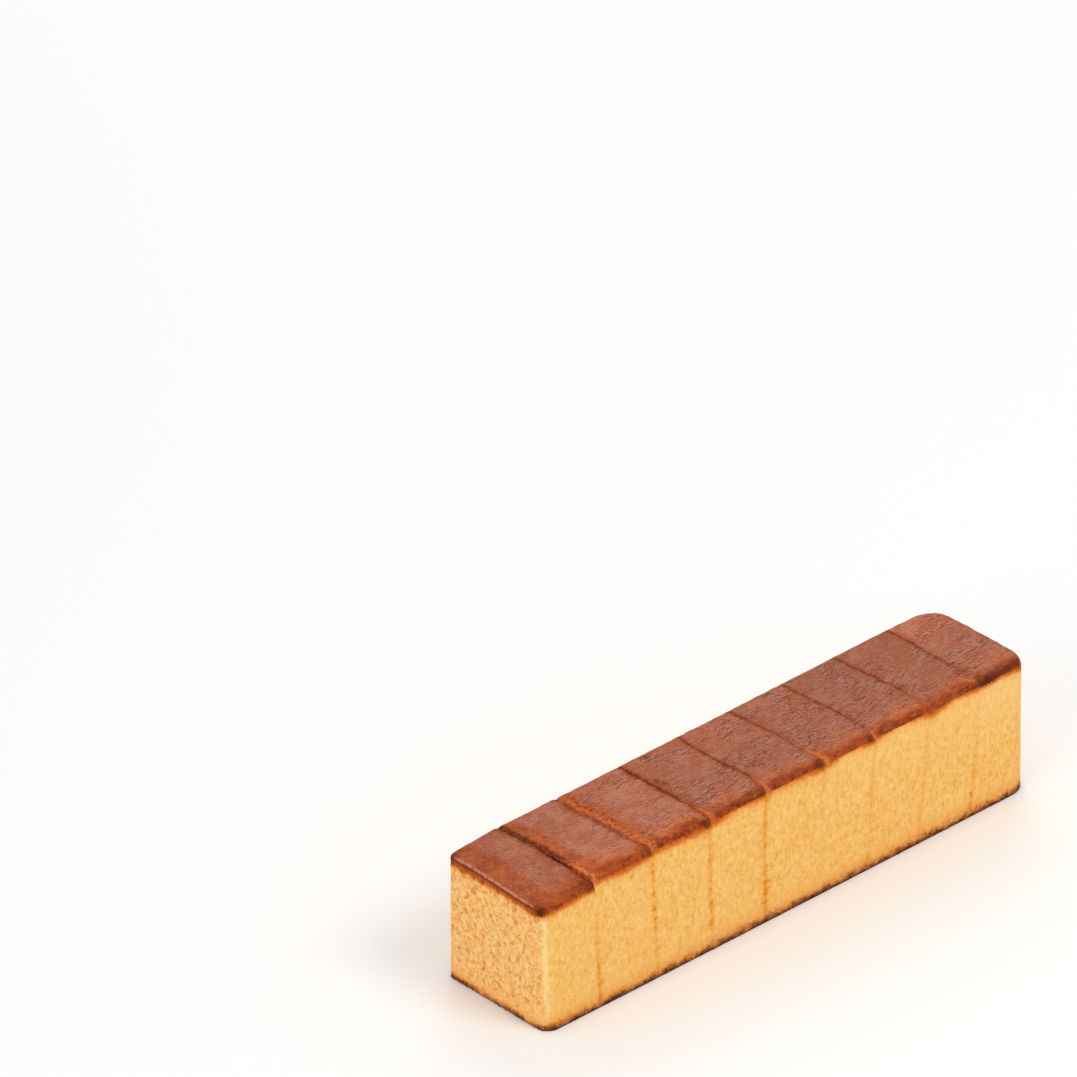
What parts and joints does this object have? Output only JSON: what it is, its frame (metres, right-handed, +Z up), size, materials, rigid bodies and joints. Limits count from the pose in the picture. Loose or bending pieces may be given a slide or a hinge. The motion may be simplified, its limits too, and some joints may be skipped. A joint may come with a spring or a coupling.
{
  "type": "castella sponge cake",
  "caption": "Long square bar of golden castella sponge with a browned crust on top and underneath, cut right through into slices that still stand together as a loaf.",
  "frame": {"origin": "centre of the flat underside of the loaf, where it rests", "axes": "+Z up, +X along the length of the loaf from its near end to its far end, -Y towards the long front side"},
  "size_m": [0.2578, 0.0588, 0.0577],
  "materials": {
    "crumb": "fine moist yellow sponge crumb with small pores, matt",
    "crust": "thin baked brown crust, finely wrinkled, soft satin"
  },
  "bodies": {
    "root": {"slice_01": "crumb", "slice_02": "crumb", "slice_03": "crumb", "slice_04": "crumb", "slice_05": "crumb", "slice_06": "crumb", "slice_07": "crumb", "slice_08": "crumb", "slice_09": "crumb"}
  },
  "joints": []
}
